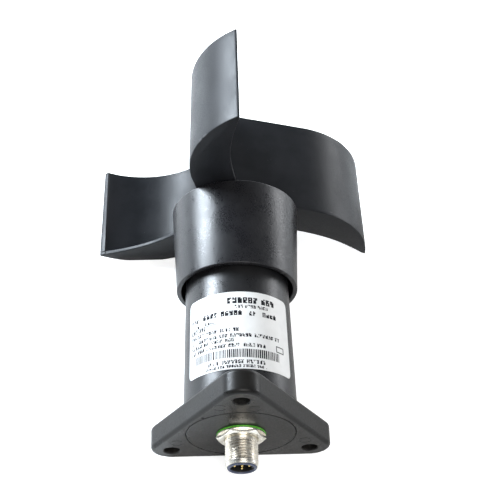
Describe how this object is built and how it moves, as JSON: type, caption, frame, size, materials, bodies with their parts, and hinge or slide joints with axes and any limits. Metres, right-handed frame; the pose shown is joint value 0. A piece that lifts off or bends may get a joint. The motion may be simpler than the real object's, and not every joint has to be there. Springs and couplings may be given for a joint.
{
  "type": "anemometer",
  "caption": "Wind-speed sensor with curved vanes turning on a ball-bearing shaft above a tubular body with a triangular bolt flange and a threaded round plug underneath.",
  "frame": {"origin": "centre of the flange's flat mounting face, on the rotor's axis", "axes": "+Z along the rotor shaft from the flange towards the rotor; -Y towards one corner of the flange and, at rest, within 1.4 degrees, towards the tip of vane 1"},
  "size_m": [0.1116, 0.1004, 0.1474],
  "materials": {
    "black_housing": "fine spark-eroded texture, slightly worn",
    "black_rotor": "fine grain with a satin sheen",
    "label_vinyl": "printed white film",
    "black_rubber": "moulded",
    "green_rubber": "moulded, bright green",
    "nickel": "nickel-plated brass",
    "insert_plastic": "moulded",
    "gold": "gold-plated",
    "brass": "turned",
    "steel": "stainless, turned",
    "bearing_steel": "ground",
    "aluminium": "turned",
    "magnet": "nickel-coated sintered magnet",
    "cage": "natural nylon",
    "board": "solder-masked laminate",
    "chip": "moulded epoxy",
    "lead_1": "brown insulation",
    "lead_2": "white insulation",
    "lead_3": "blue insulation"
  },
  "bodies": {
    "sensor_body": {"base_flange": "black_housing", "sensor_tube": "black_housing", "bottom_cover": "black_housing", "cover_gasket": "black_rubber", "label": "label_vinyl", "connector_shell": "nickel", "connector_nut": "nickel", "connector_seal": "green_rubber", "connector_insert": "insert_plastic", "contact_pin_1": "gold", "contact_pin_2": "gold", "contact_pin_3": "gold", "contact_pin_4": "gold", "contact_pin_5": "gold", "circuit_board": "board", "board_post_1": "brass", "board_post_2": "brass", "board_post_3": "brass", "board_screw_1": "steel", "board_screw_2": "steel", "board_screw_3": "steel", "hall_sensor": "chip", "processor": "chip", "output_driver": "chip", "lead_1": "lead_1", "lead_2": "lead_2", "lead_3": "lead_3", "bearing_lower_outer_ring": "bearing_steel", "bearing_upper_outer_ring": "bearing_steel", "outer_spacer": "aluminium", "bore_retaining_ring": "steel", "shaft_seal": "black_rubber"},
    "rotor": {"rotor_hub": "black_rotor", "vane_1": "black_rotor", "vane_2": "black_rotor", "vane_3": "black_rotor", "rotor_shaft": "steel", "shaft_sleeve": "steel", "bearing_lower_inner_ring": "bearing_steel", "bearing_upper_inner_ring": "bearing_steel", "inner_spacer": "aluminium", "shaft_retaining_ring": "steel", "magnet_carrier": "aluminium", "sensing_magnet": "magnet", "rotor_washer": "steel", "rotor_nut": "steel"},
    "lower_cage": {"bearing_lower_cage": "cage", "bearing_lower_ball_1": "bearing_steel", "bearing_lower_ball_2": "bearing_steel", "bearing_lower_ball_3": "bearing_steel", "bearing_lower_ball_4": "bearing_steel", "bearing_lower_ball_5": "bearing_steel", "bearing_lower_ball_6": "bearing_steel"},
    "upper_cage": {"bearing_upper_cage": "cage", "bearing_upper_ball_1": "bearing_steel", "bearing_upper_ball_2": "bearing_steel", "bearing_upper_ball_3": "bearing_steel", "bearing_upper_ball_4": "bearing_steel", "bearing_upper_ball_5": "bearing_steel", "bearing_upper_ball_6": "bearing_steel"}
  },
  "joints": [
    {"name": "rotor_spin", "type": "hinge", "parent": "sensor_body", "child": "rotor", "pos_m": [0, 0, 0.0615], "axis": [0, 0, 1], "continuous": true},
    {"name": "lower_cage_spin", "type": "hinge", "parent": "sensor_body", "child": "lower_cage", "pos_m": [0, 0, 0.0505], "axis": [0, 0, 1], "continuous": true},
    {"name": "upper_cage_spin", "type": "hinge", "parent": "sensor_body", "child": "upper_cage", "pos_m": [0, 0, 0.0725], "axis": [0, 0, 1], "continuous": true}
  ],
  "couplings": [
    {"joint": "lower_cage_spin", "follows": "rotor_spin", "ratio": 0.37143},
    {"joint": "upper_cage_spin", "follows": "rotor_spin", "ratio": 0.37143}
  ]
}
